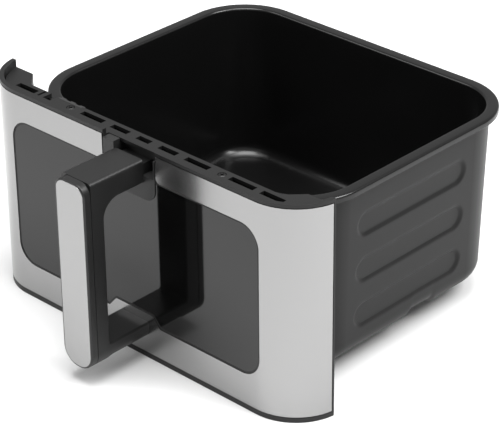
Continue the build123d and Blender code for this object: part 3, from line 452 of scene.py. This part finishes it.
def closed_piece(name, grid, finish):
    """A piece from a grid whose columns join up and whose first and last rows are points.
    Each cell is one four-sided face, coincident points are merged, and faces point outwards."""
    count_rows, count_columns, _ = grid.shape
    index = np.arange(count_rows * count_columns).reshape(count_rows, count_columns)
    beside = np.roll(index, -1, axis=1)
    faces = np.stack([index[:-1], beside[:-1], beside[1:], index[1:]], axis=-1).reshape(-1, 4)
    mesh = bpy.data.meshes.new(name)
    mesh.from_pydata(grid.reshape(-1, 3).tolist(), [], faces.tolist())
    working = bmesh.new()
    working.from_mesh(mesh)
    bmesh.ops.remove_doubles(working, verts=working.verts, dist=MERGE_DISTANCE)
    bmesh.ops.recalc_face_normals(working, faces=working.faces)
    working.to_mesh(mesh)
    working.free()
    mesh.polygons.foreach_set("use_smooth", np.ones(len(mesh.polygons), bool))
    mesh.set_sharp_from_angle(angle=SHARP_ANGLE)
    mesh.materials.append(finish.material)
    piece = bpy.data.objects.new(name, mesh)
    bpy.context.scene.collection.objects.link(piece)
    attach(piece, "root")
    print(name, "faces:", len(mesh.polygons))
    return piece


# %% [markdown]
# ## The bowl
# The bowl is pressed from one sheet. Its mouth rolls over a small radius into a flat flange, the
# flange's outer edge is rolled down over the jacket, and a wide radius joins the wall to the
# floor, which is what catches the long highlight at the back. It could be a box with bevelled
# edges and a hollowed top, but the rolled rim would then be a separate ring. One section makes all
# of it, from the middle of the inner floor, up the inside, over the rim and down the outside.

# %% Section of the bowl
SHEET = 1.0
BOWL_INSET, BOWL_DRAFT = 8.8, np.radians(3.0)
BOWL_FLOOR, BOWL_FLOOR_BEND = 26.0, 9.0
MOUTH_BEND, EDGE_BEND, ROLL_HEIGHT = 1.8, 1.8, 4.6
NECK_BEND, UNDER_EDGE_BEND = 1.2, 0.7
SKIRT_STRAIGHT, LIP_EASE, LIP_EASE_HEIGHT = 1.6, 0.25, 0.3
TOP = RIM_TOP / MM


def wall_inset(at_top, draft, height):
    """Inset of a drafted wall at a height: its inset at the rim's level plus the fall x tan."""
    return at_top + (TOP - height) * np.tan(draft)


def section_of_wall_foot(at_top, draft, floor, radius, steps):
    """Bend between a floor and a drafted wall, from the floor to the wall. Its centre is one
    radius above the floor and one radius in from the wall, measured square to the wall."""
    centre = wall_inset(at_top, draft, floor + radius) + radius / np.cos(draft)
    return bend(centre, floor + radius, radius, 270, 180 + np.degrees(draft), steps)


def bowl_section():
    """The bowl's rows: floor, foot bend, wall, mouth bend, flange edge, rolled skirt, and the
    same again one sheet further out. Each bend ends along the wall that it meets."""
    foot = section_of_wall_foot(BOWL_INSET, BOWL_DRAFT, BOWL_FLOOR, BOWL_FLOOR_BEND, 15)
    mouth_height = TOP - MOUTH_BEND
    mouth_centre = wall_inset(BOWL_INSET, BOWL_DRAFT, mouth_height) - MOUTH_BEND / np.cos(BOWL_DRAFT)
    mouth = bend(mouth_centre, mouth_height, MOUTH_BEND, np.degrees(BOWL_DRAFT), 90, 9)
    climb = np.linspace(BOWL_FLOOR + BOWL_FLOOR_BEND, mouth_height, 14)[1:-1]
    wall = rows(wall_inset(BOWL_INSET, BOWL_DRAFT, climb), climb)
    edge = bend(EDGE_BEND, TOP - EDGE_BEND, EDGE_BEND, 90, 180, 9)
    drop = ROLL_HEIGHT - np.array([SKIRT_STRAIGHT, LIP_EASE_HEIGHT, 0.0, 0.0, LIP_EASE_HEIGHT])
    skirt = rows([0.0, 0.0, LIP_EASE, SHEET - LIP_EASE, SHEET], TOP - drop)
    under_edge_height = TOP - SHEET - UNDER_EDGE_BEND
    under_edge = bend(SHEET + UNDER_EDGE_BEND, under_edge_height, UNDER_EDGE_BEND, 180, 90, 5)
    outer = BOWL_INSET - SHEET
    neck_height = TOP - SHEET - NECK_BEND
    neck_centre = wall_inset(outer, BOWL_DRAFT, neck_height) - NECK_BEND
    neck = bend(neck_centre, neck_height, NECK_BEND, 90, 0, 5)
    outer_foot = section_of_wall_foot(outer, BOWL_DRAFT, BOWL_FLOOR - SHEET, BOWL_FLOOR_BEND + SHEET, 11)
    fall = np.linspace(neck_height, BOWL_FLOOR + BOWL_FLOOR_BEND, 14)[1:-1]
    outer_wall = rows(wall_inset(outer, BOWL_DRAFT, fall), fall)
    inner_floor = floor_rows(foot[0, 0] / MM, BOWL_FLOOR, 10)
    outer_floor = floor_rows(outer_foot[0, 0] / MM, BOWL_FLOOR - SHEET, 10)
    inside = [inner_floor, foot, wall, mouth, edge, skirt]
    outside = [under_edge, neck, outer_wall, outer_foot[::-1], outer_floor[::-1]]
    return np.vstack(inside + outside)


print("rows in the bowl's section:", len(bowl_section()))

# %% Make the bowl
bowl_grid = carried_round(bowl_section(), loop_round(30, 26, 22))
bowl = closed_piece("bowl", bowl_grid, nonstick)
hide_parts("inner_bowl")

# %% [markdown]
# ## The jacket
# The jacket is thinner sheet, and pressed ribs stiffen its side walls. A press leaves soft
# shoulders, so the ribs are a smooth step of the distance to a rounded slot's outline. That
# distance is worked out for every point at once and moves the wall inwards. A sculpting brush or a
# displacement texture could press them too, but neither gives a rib of a known depth and length.
# A shallow channel across the underside is the same idea in one direction.

# %% Shape of the ribs and the channel
JACKET_SHEET = 0.8
JACKET_DRAFT = np.radians(1.7)
JACKET_INSET = 5.7 - SHEET * np.tan(JACKET_DRAFT)
JACKET_FLOOR, JACKET_FLOOR_BEND = 11.0, 13.0
COLLAR_INSET = 2.3
COLLAR_TOP = TOP - SHEET
PAN_FRONT = RIM_LOW[1]
RIB_LENGTH, RIB_HEIGHT, RIB_DEPTH, RIB_SHOULDER = 107.0 * MM, 18.5 * MM, 1.6 * MM, 2.2 * MM
RIB_MIDDLE = PAN_FRONT + 106.5 * MM
RIB_HEIGHTS = (107.3 * MM, 73.4 * MM, 39.8 * MM)
CHANNEL_MIDDLE = PAN_FRONT + 123.0 * MM
CHANNEL_HALF, CHANNEL_SLOPE, CHANNEL_RISE = 9.0 * MM, 5.0 * MM, 3.4 * MM
CHANNEL_FADE = 26.0 * MM
FLAT_SIDE = 0.999
print("ribs:", len(RIB_HEIGHTS), "on each side, depth in mm:", round(RIB_DEPTH / MM, 2))


def smooth_step(share):
    """0 below 0, 1 above 1, and 3 s^2 - 2 s^3 between, which starts and ends level."""
    share = np.clip(share, 0, 1)
    return share * share * (3 - 2 * share)


def outline_distance(y, z, middle, height):
    """Distance to a rounded slot's outline, negative inside: the distance to the slot's
    centre line, less half its height."""
    half_line = (RIB_LENGTH - RIB_HEIGHT) / 2
    beyond = np.maximum(np.abs(y - middle) - half_line, 0)
    return np.hypot(beyond, z - height) - RIB_HEIGHT / 2


def pressed(grid, loop):
    """The grid with its ribs and channel pressed in. Ribs move side walls towards x = 0, and
    the channel lifts the floor, less and less up the walls."""
    angles = loop[1]
    x, y, z = (grid[..., axis].copy() for axis in range(3))
    on_side = np.abs(np.cos(angles)) > FLAT_SIDE
    depth = np.zeros_like(x)
    for height in RIB_HEIGHTS:
        inside = -outline_distance(y, z, RIB_MIDDLE, height)
        depth += RIB_DEPTH * smooth_step(inside / RIB_SHOULDER)
    x -= np.sign(x) * depth * on_side
    near = (CHANNEL_HALF + CHANNEL_SLOPE - np.abs(y - CHANNEL_MIDDLE)) / CHANNEL_SLOPE
    fade = 1 - smooth_step((z - JACKET_FLOOR * MM) / CHANNEL_FADE)
    z += CHANNEL_RISE * smooth_step(near) * fade
    return np.stack([x, y, z], axis=-1)


# %% [markdown]
# ## The jacket's section
# The jacket is an open box in the same way as the bowl, with a collar at its top that turns out
# under the rim. The walls have nearly a hundred rows, because ribs are pressed into them and a
# rib's shoulder is only about two millimetres wide.


# %% Section of the jacket
def jacket_section():
    """The jacket's rows: outer floor, foot bend, wall, collar, then the inner wall, its foot bend
    and inner floor, each one sheet further in."""
    foot = section_of_wall_foot(JACKET_INSET, JACKET_DRAFT, JACKET_FLOOR, JACKET_FLOOR_BEND, 11)
    inner = JACKET_INSET + JACKET_SHEET
    inner_bend = JACKET_FLOOR_BEND - JACKET_SHEET
    inner_foot = section_of_wall_foot(inner, JACKET_DRAFT, JACKET_FLOOR + JACKET_SHEET, inner_bend, 9)
    climb = np.linspace(JACKET_FLOOR + JACKET_FLOOR_BEND, COLLAR_TOP - JACKET_SHEET, 96)[1:]
    wall = rows(wall_inset(JACKET_INSET, JACKET_DRAFT, climb), climb)
    collar_low, inner_top = COLLAR_TOP - JACKET_SHEET, wall_inset(inner, JACKET_DRAFT, COLLAR_TOP)
    collar = rows([COLLAR_INSET, COLLAR_INSET, inner_top], [collar_low, COLLAR_TOP, COLLAR_TOP])
    fall = climb[::-1]
    inner_wall = rows(wall_inset(inner, JACKET_DRAFT, fall), fall)
    floor = floor_rows(foot[0, 0] / MM, JACKET_FLOOR, 42)
    inner_floor = floor_rows(inner_foot[0, 0] / MM, JACKET_FLOOR + JACKET_SHEET, 30)
    return np.vstack([floor, foot, wall, collar, inner_wall, inner_foot[::-1], inner_floor[::-1]])


print("rows in the jacket's section:", len(jacket_section()))

# %% Make the jacket
jacket_loop = loop_round(22, 108, 11)
jacket_grid = pressed(carried_round(jacket_section(), jacket_loop), jacket_loop)
jacket = closed_piece("jacket", jacket_grid, jacket_paint)
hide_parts("pan_jacket")

# %% [markdown]
# ## The table
# A pale table runs past the picture's edges, so the drawer stands in an even white. A curved
# studio sweep would hide the far edge too, but a wide flat sheet is enough at this angle.

# %% Table
TABLE_HALF = 6.0
TABLE_LEVEL = -0.0002
corners = [(x, y, TABLE_LEVEL) for x, y in ((-1, -1), (1, -1), (1, 1), (-1, 1))]
corners = [(x * TABLE_HALF, y * TABLE_HALF, z) for x, y, z in corners]
table_mesh = bpy.data.meshes.new("table")
table_mesh.from_pydata(corners, [], [(0, 1, 2, 3)])
table = bpy.data.objects.new("table", table_mesh)
bpy.context.scene.collection.objects.link(table)
table_mesh.materials.append(Finish("pale_table", Base_Color=grey(0.76), Roughness=0.9).material)
print("table side in m:", TABLE_HALF * 2)

# %% [markdown]
# ## The light
# An even white sky fills the shadows, and three large softboxes shape the piece: one overhead,
# which draws the highlights on the rim and the bowl's floor, one behind at the right, and a weak
# one at the front left that lifts the steel. A sun would be simpler, but something as small as
# the sun leaves no broad highlight on the steel.

# %% Light
SKY_STRENGTH = 0.5
DRAWER_MIDDLE = (0.0, 0.0, 0.08)


def softbox(name, place, aim, size, power):
    """A square area light at a place, turned to face a point."""
    light = bpy.data.lights.new(name, "AREA")
    light.size = size
    light.energy = power
    lamp = bpy.data.objects.new(name, light)
    bpy.context.scene.collection.objects.link(lamp)
    facing = (Vector(aim) - Vector(place)).to_track_quat("-Z", "Y")
    lamp.matrix_world = Matrix.Translation(place) @ facing.to_matrix().to_4x4()
    return lamp


softbox("overhead_softbox", (0.1, -0.15, 1.5), DRAWER_MIDDLE, size=0.9, power=27.0)
softbox("right_softbox", (1.0, 0.45, 1.45), DRAWER_MIDDLE, size=0.8, power=30.0)
softbox("front_left_softbox", (-1.0, -1.1, 1.2), DRAWER_MIDDLE, size=0.8, power=8.0)
world = bpy.data.worlds.new("sky")
world.use_nodes = True
sky = world.node_tree.nodes["Background"].inputs
sky["Color"].default_value = (1.0, 1.0, 1.0, 1.0)
sky["Strength"].default_value = SKY_STRENGTH
bpy.context.scene.world = world
bpy.context.scene.view_settings.view_transform = "Standard"
print("lights and their power in W:", {lamp.name: lamp.energy for lamp in bpy.data.lights})

# %% [markdown]
# ## Close
# The box of the CAD nodes is printed once more at the end. The looks must not outgrow the
# CAD.

# %% Print the CAD box and finish
print("CAD box:", cad_box)
